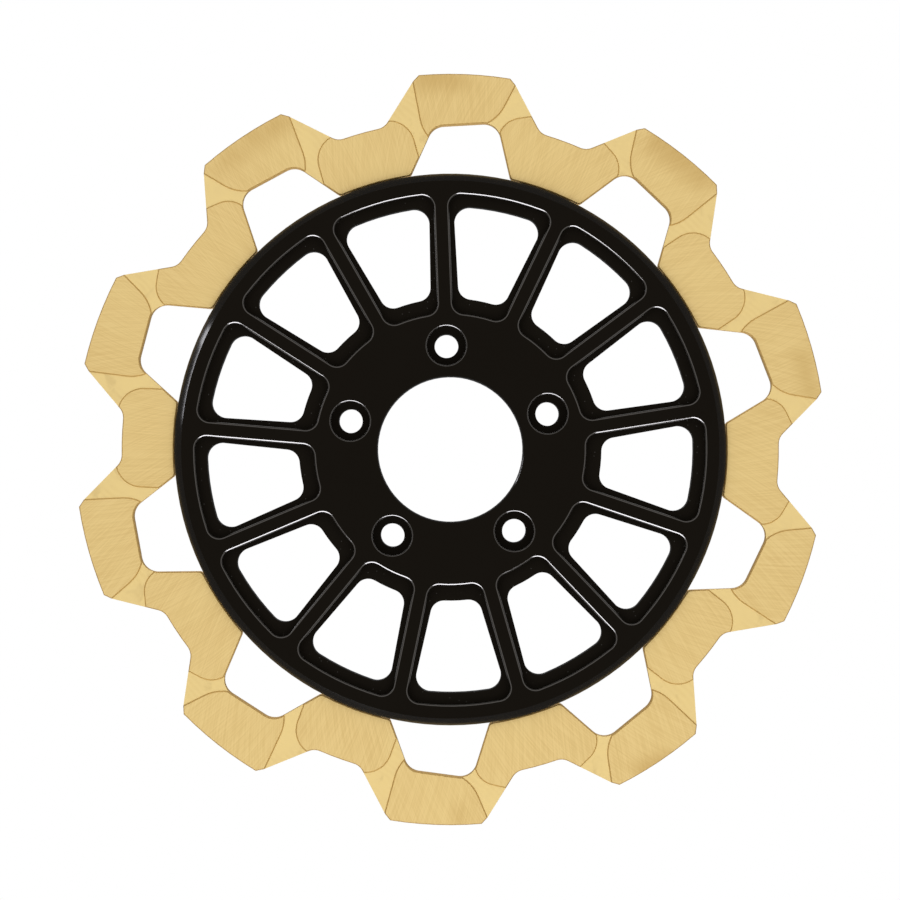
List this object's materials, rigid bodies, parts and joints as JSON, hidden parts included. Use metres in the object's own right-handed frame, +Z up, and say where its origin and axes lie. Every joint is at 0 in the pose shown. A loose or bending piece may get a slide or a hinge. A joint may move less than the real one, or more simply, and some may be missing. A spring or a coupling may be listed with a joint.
{
  "type": "brake disc rotor",
  "caption": "Two-piece motorcycle brake disc: a black spoked carrier that bolts to the wheel hub, and a gold wavy brake ring that floats on drive bushes behind its rim.",
  "frame": {"origin": "on the disc axis, in the plane of the hub's mounting face", "axes": "+Y along the disc axis, inboard towards the wheel; the outboard face looks towards -Y; +Z up through one bolt hole"},
  "size_m": [0.298, 0.0134, 0.3],
  "materials": {
    "carrier_black": "gloss black coating over machined aluminium",
    "ring_gold": "gold-coloured hard coating over ground steel",
    "bushing_steel": "turned and hardened",
    "spring_steel": "stamped spring steel",
    "washer_steel": "zinc plated",
    "screw_steel": "black oxide"
  },
  "bodies": {
    "carrier_assembly": {"carrier": "carrier_black", "drive_bushing_01": "bushing_steel", "drive_bushing_02": "bushing_steel", "drive_bushing_03": "bushing_steel", "drive_bushing_04": "bushing_steel", "drive_bushing_05": "bushing_steel", "drive_bushing_06": "bushing_steel", "drive_bushing_07": "bushing_steel", "drive_bushing_08": "bushing_steel", "drive_bushing_09": "bushing_steel", "drive_bushing_10": "bushing_steel", "spring_washer_01": "spring_steel", "spring_washer_02": "spring_steel", "spring_washer_03": "spring_steel", "spring_washer_04": "spring_steel", "spring_washer_05": "spring_steel", "spring_washer_06": "spring_steel", "spring_washer_07": "spring_steel", "spring_washer_08": "spring_steel", "spring_washer_09": "spring_steel", "spring_washer_10": "spring_steel", "flat_washer_01": "washer_steel", "flat_washer_02": "washer_steel", "flat_washer_03": "washer_steel", "flat_washer_04": "washer_steel", "flat_washer_05": "washer_steel", "flat_washer_06": "washer_steel", "flat_washer_07": "washer_steel", "flat_washer_08": "washer_steel", "flat_washer_09": "washer_steel", "flat_washer_10": "washer_steel", "drive_screw_01": "screw_steel", "drive_screw_02": "screw_steel", "drive_screw_03": "screw_steel", "drive_screw_04": "screw_steel", "drive_screw_05": "screw_steel", "drive_screw_06": "screw_steel", "drive_screw_07": "screw_steel", "drive_screw_08": "screw_steel", "drive_screw_09": "screw_steel", "drive_screw_10": "screw_steel"},
    "ring": {"brake_ring": "ring_gold"}
  },
  "joints": [
    {"name": "brake_ring_float", "type": "slide", "parent": "carrier_assembly", "child": "ring", "axis": [0, 1, 0], "range_m": [0, 0.0002], "stiffness_N_per_m": 20000}
  ]
}
